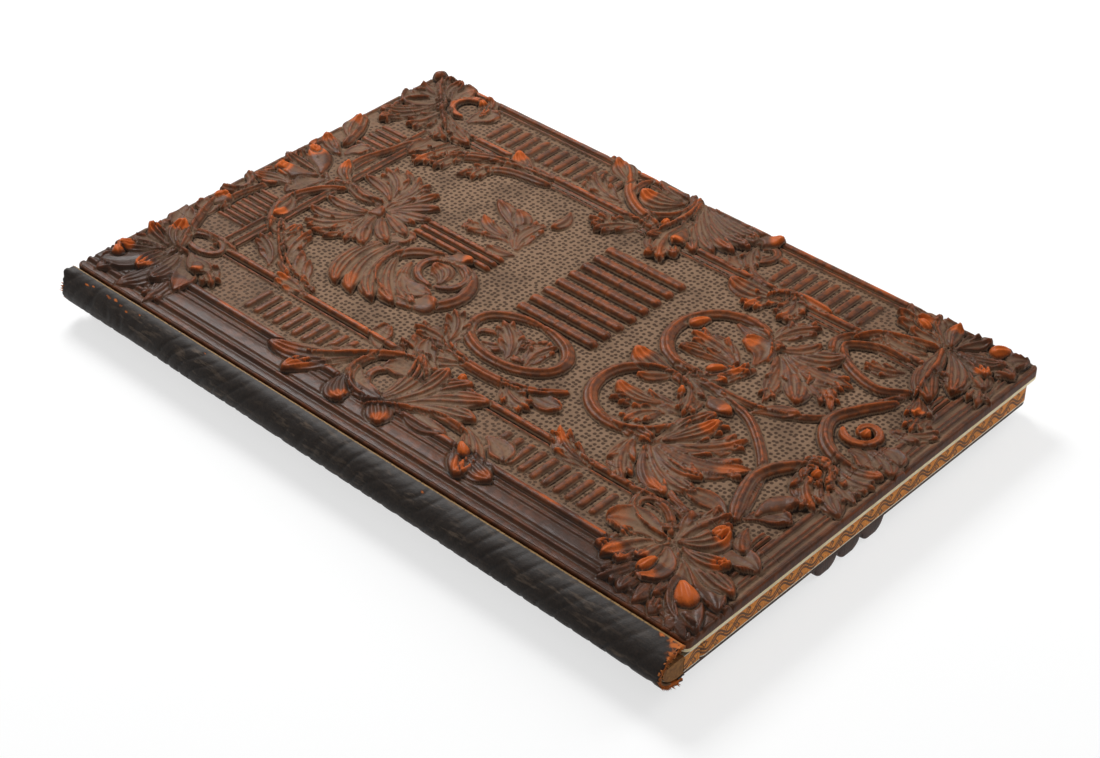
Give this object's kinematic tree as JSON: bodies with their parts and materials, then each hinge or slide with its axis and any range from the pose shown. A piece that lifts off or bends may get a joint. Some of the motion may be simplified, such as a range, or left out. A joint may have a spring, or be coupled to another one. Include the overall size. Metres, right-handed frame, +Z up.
{
  "type": "stamp album",
  "caption": "Shut stamp album with boards in deeply embossed dark leather, a round black leather spine and card leaves on linen guards; covers and leaves turn.",
  "frame": {"origin": "middle of the footprint, on the surface that the bosses of the back cover rest on", "axes": "+X from the spine to the fore-edge, +Y from the tail to the head, +Z up through the front cover"},
  "size_m": [0.2184, 0.318, 0.0254],
  "materials": {
    "embossed_leather": "embossed leather, dark brown in the hollows and worn red-brown on the high points, semi-gloss",
    "back_embossed_leather": "embossed leather, dark brown, semi-gloss",
    "spine_leather": "black leather, wrinkled across, worn orange at the ends",
    "joint_leather": "thin dark leather in the joint",
    "board_core": "grey-brown pulp board",
    "lining_card": "cream card with a toothed edge",
    "endpaper": "cream endpaper",
    "flyleaf_paper": "cream paper",
    "album_card": "cream card with printed ruled spaces and patterned orange-brown edges",
    "stub_edges": "sewn and glued stubs, orange-brown patterned ends",
    "linen": "unbleached linen"
  },
  "bodies": {
    "back_cover": {"back_leather": "back_embossed_leather", "back_medallion": "back_embossed_leather", "back_board": "board_core", "back_pastedown": "endpaper"},
    "spine": {"spine_leather": "spine_leather", "spine_liner": "board_core", "sewing_tapes": "linen", "mull": "linen", "guard_stubs": "stub_edges", "front_joint_leather": "joint_leather", "back_joint_leather": "joint_leather"},
    "front_cover": {"front_leather": "embossed_leather", "front_board": "board_core", "front_lining": "lining_card", "front_pastedown": "endpaper"},
    "front_flyleaf_body": {"front_flyleaf": "flyleaf_paper", "front_flyleaf_guard": "linen"},
    "leaf_1_body": {"leaf_1": "album_card", "leaf_guard_1": "linen"},
    "leaf_2_body": {"leaf_2": "album_card", "leaf_guard_2": "linen"},
    "leaf_3_body": {"leaf_3": "album_card", "leaf_guard_3": "linen"},
    "leaf_4_body": {"leaf_4": "album_card", "leaf_guard_4": "linen"},
    "leaf_5_body": {"leaf_5": "album_card", "leaf_guard_5": "linen"},
    "leaf_6_body": {"leaf_6": "album_card", "leaf_guard_6": "linen"},
    "leaf_7_body": {"leaf_7": "album_card", "leaf_guard_7": "linen"},
    "leaf_8_body": {"leaf_8": "album_card", "leaf_guard_8": "linen"},
    "back_flyleaf_body": {"back_flyleaf": "flyleaf_paper", "back_flyleaf_guard": "linen"}
  },
  "joints": [
    {"name": "back_joint", "type": "hinge", "parent": "back_cover", "child": "spine", "pos_m": [-0.0962, 0, 0.005], "axis": [0, -1, 0], "range_deg": [0, 30]},
    {"name": "front_joint", "type": "hinge", "parent": "spine", "child": "front_cover", "pos_m": [-0.0962, 0, 0.02215], "axis": [0, -1, 0], "range_deg": [0, 150]},
    {"name": "front_flyleaf_turn", "type": "hinge", "parent": "spine", "child": "front_flyleaf_body", "pos_m": [-0.0962, 0, 0.02215], "axis": [0, -1, 0], "range_deg": [0, 136.87]},
    {"name": "leaf_1_turn", "type": "hinge", "parent": "spine", "child": "leaf_1_body", "pos_m": [-0.0962, 0, 0.02215], "axis": [0, -1, 0], "range_deg": [0, 123.23]},
    {"name": "leaf_2_turn", "type": "hinge", "parent": "spine", "child": "leaf_2_body", "pos_m": [-0.0962, 0, 0.02215], "axis": [0, -1, 0], "range_deg": [0, 109.59]},
    {"name": "leaf_3_turn", "type": "hinge", "parent": "spine", "child": "leaf_3_body", "pos_m": [-0.0962, 0, 0.02215], "axis": [0, -1, 0], "range_deg": [0, 95.96]},
    {"name": "leaf_4_turn", "type": "hinge", "parent": "spine", "child": "leaf_4_body", "pos_m": [-0.0962, 0, 0.02215], "axis": [0, -1, 0], "range_deg": [0, 82.33]},
    {"name": "leaf_5_turn", "type": "hinge", "parent": "spine", "child": "leaf_5_body", "pos_m": [-0.0962, 0, 0.02215], "axis": [0, -1, 0], "range_deg": [0, 68.67]},
    {"name": "leaf_6_turn", "type": "hinge", "parent": "spine", "child": "leaf_6_body", "pos_m": [-0.0962, 0, 0.02215], "axis": [0, -1, 0], "range_deg": [0, 55.04]},
    {"name": "leaf_7_turn", "type": "hinge", "parent": "spine", "child": "leaf_7_body", "pos_m": [-0.0962, 0, 0.02215], "axis": [0, -1, 0], "range_deg": [0, 41.41]},
    {"name": "leaf_8_turn", "type": "hinge", "parent": "spine", "child": "leaf_8_body", "pos_m": [-0.0962, 0, 0.02215], "axis": [0, -1, 0], "range_deg": [0, 27.77]},
    {"name": "back_flyleaf_turn", "type": "hinge", "parent": "spine", "child": "back_flyleaf_body", "pos_m": [-0.0962, 0, 0.02215], "axis": [0, -1, 0], "range_deg": [0, 14.13]}
  ],
  "couplings": [
    {"joint": "front_flyleaf_turn", "follows": "front_joint", "ratio": 0.9091},
    {"joint": "leaf_1_turn", "follows": "front_joint", "ratio": 0.8182},
    {"joint": "leaf_2_turn", "follows": "front_joint", "ratio": 0.7273},
    {"joint": "leaf_3_turn", "follows": "front_joint", "ratio": 0.6364},
    {"joint": "leaf_4_turn", "follows": "front_joint", "ratio": 0.5455},
    {"joint": "leaf_5_turn", "follows": "front_joint", "ratio": 0.4545},
    {"joint": "leaf_6_turn", "follows": "front_joint", "ratio": 0.3636},
    {"joint": "leaf_7_turn", "follows": "front_joint", "ratio": 0.2727},
    {"joint": "leaf_8_turn", "follows": "front_joint", "ratio": 0.1818},
    {"joint": "back_flyleaf_turn", "follows": "front_joint", "ratio": 0.0909}
  ]
}
